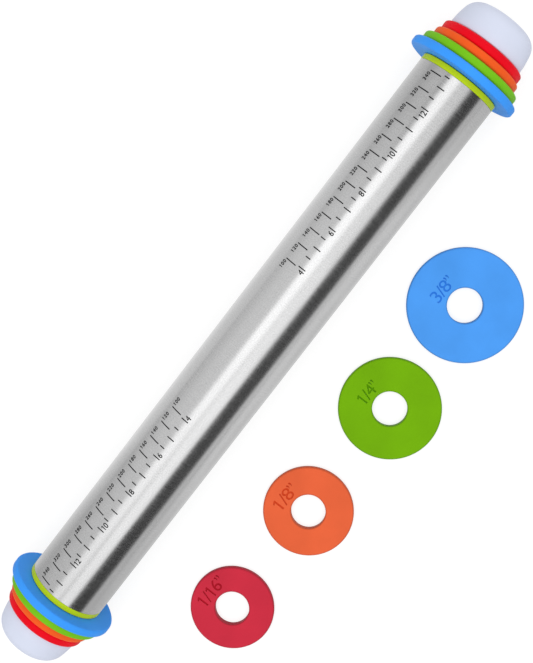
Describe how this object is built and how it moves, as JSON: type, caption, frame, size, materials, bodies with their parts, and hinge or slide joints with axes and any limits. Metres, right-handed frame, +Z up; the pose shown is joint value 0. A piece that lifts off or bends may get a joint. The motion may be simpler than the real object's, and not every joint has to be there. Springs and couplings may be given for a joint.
{
  "type": "adjustable rolling pin",
  "caption": "Steel rolling pin with screw-on end knobs and coloured thickness rings that set the dough height, with one loose ring of each size beside it.",
  "frame": {"origin": "middle of the base of the whole object, pin and loose rings together", "axes": "+X along the pin, +Y from the loose rings towards the pin, +Z up from the worktop"},
  "size_m": [0.4292, 0.1442, 0.065],
  "materials": {
    "steel_tube": "satin, polished round the tube, and printed with a dark grey scale",
    "lime_plug": "satin moulded plastic",
    "blue_ring": "satin moulded plastic",
    "green_ring": "satin moulded plastic",
    "orange_ring": "satin moulded plastic",
    "red_ring": "satin moulded plastic",
    "pale_knob": "smooth milky plastic",
    "white_stem": "satin moulded plastic"
  },
  "bodies": {
    "roller": {"roller_tube": "steel_tube", "end_plug_right": "lime_plug", "end_plug_left": "lime_plug"},
    "blue_ring_right_body": {"blue_ring_right": "blue_ring"},
    "green_ring_right_body": {"green_ring_right": "green_ring"},
    "orange_ring_right_body": {"orange_ring_right": "orange_ring"},
    "red_ring_right_body": {"red_ring_right": "red_ring"},
    "knob_right_body": {"knob_right": "pale_knob", "screw_stem_right": "white_stem"},
    "blue_ring_left_body": {"blue_ring_left": "blue_ring"},
    "green_ring_left_body": {"green_ring_left": "green_ring"},
    "orange_ring_left_body": {"orange_ring_left": "orange_ring"},
    "red_ring_left_body": {"red_ring_left": "red_ring"},
    "knob_left_body": {"knob_left": "pale_knob", "screw_stem_left": "white_stem"},
    "blue_loose_body": {"blue_ring_loose": "blue_ring"},
    "green_loose_body": {"green_ring_loose": "green_ring"},
    "orange_loose_body": {"orange_ring_loose": "orange_ring"},
    "red_loose_body": {"red_ring_loose": "red_ring"}
  },
  "joints": [
    {"name": "knob_right_turn", "type": "hinge", "parent": "red_ring_right_body", "child": "knob_right_body", "pos_m": [0.1969, 0.03961, 0.03252], "axis": [1, 0, 0], "range_deg": [0, 1620]},
    {"name": "red_right_slide", "type": "slide", "parent": "roller", "child": "red_ring_right_body", "axis": [1, 0, 0], "range_m": [0, 0.018]},
    {"name": "orange_right_slide", "type": "slide", "parent": "roller", "child": "orange_ring_right_body", "axis": [1, 0, 0], "range_m": [0, 0.0135]},
    {"name": "green_right_slide", "type": "slide", "parent": "roller", "child": "green_ring_right_body", "axis": [1, 0, 0], "range_m": [0, 0.009]},
    {"name": "blue_right_slide", "type": "slide", "parent": "roller", "child": "blue_ring_right_body", "axis": [1, 0, 0], "range_m": [0, 0.0045]},
    {"name": "knob_left_turn", "type": "hinge", "parent": "red_ring_left_body", "child": "knob_left_body", "pos_m": [-0.1969, 0.03961, 0.03252], "axis": [-1, 0, 0], "range_deg": [0, 1620]},
    {"name": "red_left_slide", "type": "slide", "parent": "roller", "child": "red_ring_left_body", "axis": [-1, 0, 0], "range_m": [0, 0.018]},
    {"name": "orange_left_slide", "type": "slide", "parent": "roller", "child": "orange_ring_left_body", "axis": [-1, 0, 0], "range_m": [0, 0.0135]},
    {"name": "green_left_slide", "type": "slide", "parent": "roller", "child": "green_ring_left_body", "axis": [-1, 0, 0], "range_m": [0, 0.009]},
    {"name": "blue_left_slide", "type": "slide", "parent": "roller", "child": "blue_ring_left_body", "axis": [-1, 0, 0], "range_m": [0, 0.0045]},
    {"name": "blue_loose_lift", "type": "slide", "parent": "roller", "child": "blue_loose_body", "axis": [0, 0, 1], "range_m": [0, 0.05]},
    {"name": "green_loose_lift", "type": "slide", "parent": "roller", "child": "green_loose_body", "axis": [0, 0, 1], "range_m": [0, 0.05]},
    {"name": "orange_loose_lift", "type": "slide", "parent": "roller", "child": "orange_loose_body", "axis": [0, 0, 1], "range_m": [0, 0.05]},
    {"name": "red_loose_lift", "type": "slide", "parent": "roller", "child": "red_loose_body", "axis": [0, 0, 1], "range_m": [0, 0.05]}
  ],
  "couplings": [
    {"joint": "red_right_slide", "follows": "knob_right_turn", "m_per_rad": 0.0006366},
    {"joint": "orange_right_slide", "follows": "knob_right_turn", "m_per_rad": 0.00047745},
    {"joint": "green_right_slide", "follows": "knob_right_turn", "m_per_rad": 0.0003183},
    {"joint": "blue_right_slide", "follows": "knob_right_turn", "m_per_rad": 0.00015915},
    {"joint": "red_left_slide", "follows": "knob_left_turn", "m_per_rad": 0.0006366},
    {"joint": "orange_left_slide", "follows": "knob_left_turn", "m_per_rad": 0.00047745},
    {"joint": "green_left_slide", "follows": "knob_left_turn", "m_per_rad": 0.0003183},
    {"joint": "blue_left_slide", "follows": "knob_left_turn", "m_per_rad": 0.00015915}
  ]
}
